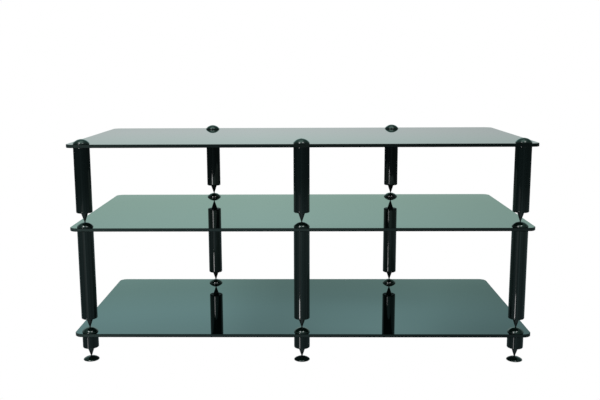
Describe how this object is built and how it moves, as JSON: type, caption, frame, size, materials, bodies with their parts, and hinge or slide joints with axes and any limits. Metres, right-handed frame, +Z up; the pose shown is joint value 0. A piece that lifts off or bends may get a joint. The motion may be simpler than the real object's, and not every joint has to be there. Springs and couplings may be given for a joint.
{
  "type": "audio-visual rack",
  "caption": "Low, wide open equipment rack: dark glass shelves on round posts, each tier standing on the one below through pointed spikes in domed caps.",
  "frame": {"origin": "on the floor, under the middle of the shelves", "axes": "+X to the right seen from the front, +Y from the front edge to the back, +Z up"},
  "size_m": [1.1, 0.5, 0.5384],
  "materials": {
    "black_glass": "polished",
    "column_metal": "gloss",
    "dome_metal": "gloss",
    "spike_metal": "gloss",
    "nylon": "matte",
    "plug_steel": "satin"
  },
  "bodies": {
    "bottom_tier": {"bottom_shelf_glass": "black_glass", "bottom_shelf_bushes": "nylon", "bottom_dome_front_left": "dome_metal", "bottom_dome_front_centre": "dome_metal", "bottom_dome_front_right": "dome_metal", "bottom_dome_back_left": "dome_metal", "bottom_dome_back_right": "dome_metal", "foot_barrel_front_left": "column_metal", "foot_barrel_front_centre": "column_metal", "foot_barrel_front_right": "column_metal", "foot_barrel_back_left": "column_metal", "foot_barrel_back_right": "column_metal"},
    "middle_tier": {"middle_shelf_glass": "black_glass", "middle_shelf_bushes": "nylon", "lower_column_top_plugs": "plug_steel", "lower_column_end_plugs": "column_metal", "middle_dome_front_left": "dome_metal", "middle_dome_front_centre": "dome_metal", "middle_dome_front_right": "dome_metal", "middle_dome_back_left": "dome_metal", "middle_dome_back_right": "dome_metal", "lower_column_front_left": "column_metal", "lower_column_front_centre": "column_metal", "lower_column_front_right": "column_metal", "lower_column_back_left": "column_metal", "lower_column_back_right": "column_metal", "lower_spike_front_left": "spike_metal", "lower_spike_front_centre": "spike_metal", "lower_spike_front_right": "spike_metal", "lower_spike_back_left": "spike_metal", "lower_spike_back_right": "spike_metal"},
    "top_tier": {"top_shelf_glass": "black_glass", "top_shelf_bushes": "nylon", "upper_column_top_plugs": "plug_steel", "upper_column_end_plugs": "column_metal", "top_cap_front_left": "dome_metal", "top_cap_front_centre": "dome_metal", "top_cap_front_right": "dome_metal", "top_cap_back_left": "dome_metal", "top_cap_back_right": "dome_metal", "upper_column_front_left": "column_metal", "upper_column_front_centre": "column_metal", "upper_column_front_right": "column_metal", "upper_column_back_left": "column_metal", "upper_column_back_right": "column_metal", "upper_spike_front_left": "spike_metal", "upper_spike_front_centre": "spike_metal", "upper_spike_front_right": "spike_metal", "upper_spike_back_left": "spike_metal", "upper_spike_back_right": "spike_metal"},
    "front_left_foot": {"floor_disc_front_left": "dome_metal"},
    "front_left_foot_spike": {"foot_spike_front_left": "spike_metal"},
    "front_centre_foot": {"floor_disc_front_centre": "dome_metal"},
    "front_centre_foot_spike": {"foot_spike_front_centre": "spike_metal"},
    "front_right_foot": {"floor_disc_front_right": "dome_metal"},
    "front_right_foot_spike": {"foot_spike_front_right": "spike_metal"},
    "back_left_foot": {"floor_disc_back_left": "dome_metal"},
    "back_left_foot_spike": {"foot_spike_back_left": "spike_metal"},
    "back_right_foot": {"floor_disc_back_right": "dome_metal"},
    "back_right_foot_spike": {"foot_spike_back_right": "spike_metal"}
  },
  "joints": [
    {"name": "middle_tier_lift", "type": "slide", "parent": "bottom_tier", "child": "middle_tier", "axis": [0, 0, 1], "range_m": [0, 0.06]},
    {"name": "top_tier_lift", "type": "slide", "parent": "middle_tier", "child": "top_tier", "axis": [0, 0, 1], "range_m": [0, 0.06]},
    {"name": "front_left_foot_drop", "type": "slide", "parent": "bottom_tier", "child": "front_left_foot", "axis": [0, 0, -1], "range_m": [0, 0.006]},
    {"name": "front_left_foot_turn", "type": "hinge", "parent": "front_left_foot", "child": "front_left_foot_spike", "pos_m": [-0.5145, -0.231, 0], "axis": [0, 0, -1], "range_deg": [0, 1728]},
    {"name": "front_centre_foot_drop", "type": "slide", "parent": "bottom_tier", "child": "front_centre_foot", "axis": [0, 0, -1], "range_m": [0, 0.006]},
    {"name": "front_centre_foot_turn", "type": "hinge", "parent": "front_centre_foot", "child": "front_centre_foot_spike", "pos_m": [0, -0.231, 0], "axis": [0, 0, -1], "range_deg": [0, 1728]},
    {"name": "front_right_foot_drop", "type": "slide", "parent": "bottom_tier", "child": "front_right_foot", "axis": [0, 0, -1], "range_m": [0, 0.006]},
    {"name": "front_right_foot_turn", "type": "hinge", "parent": "front_right_foot", "child": "front_right_foot_spike", "pos_m": [0.5145, -0.231, 0], "axis": [0, 0, -1], "range_deg": [0, 1728]},
    {"name": "back_left_foot_drop", "type": "slide", "parent": "bottom_tier", "child": "back_left_foot", "axis": [0, 0, -1], "range_m": [0, 0.006]},
    {"name": "back_left_foot_turn", "type": "hinge", "parent": "back_left_foot", "child": "back_left_foot_spike", "pos_m": [-0.25725, 0.209, 0], "axis": [0, 0, -1], "range_deg": [0, 1728]},
    {"name": "back_right_foot_drop", "type": "slide", "parent": "bottom_tier", "child": "back_right_foot", "axis": [0, 0, -1], "range_m": [0, 0.006]},
    {"name": "back_right_foot_turn", "type": "hinge", "parent": "back_right_foot", "child": "back_right_foot_spike", "pos_m": [0.25725, 0.209, 0], "axis": [0, 0, -1], "range_deg": [0, 1728]}
  ],
  "couplings": [
    {"joint": "front_left_foot_turn", "follows": "front_left_foot_drop", "rad_per_m": 5026.5},
    {"joint": "front_centre_foot_turn", "follows": "front_centre_foot_drop", "rad_per_m": 5026.5},
    {"joint": "front_right_foot_turn", "follows": "front_right_foot_drop", "rad_per_m": 5026.5},
    {"joint": "back_left_foot_turn", "follows": "back_left_foot_drop", "rad_per_m": 5026.5},
    {"joint": "back_right_foot_turn", "follows": "back_right_foot_drop", "rad_per_m": 5026.5}
  ]
}
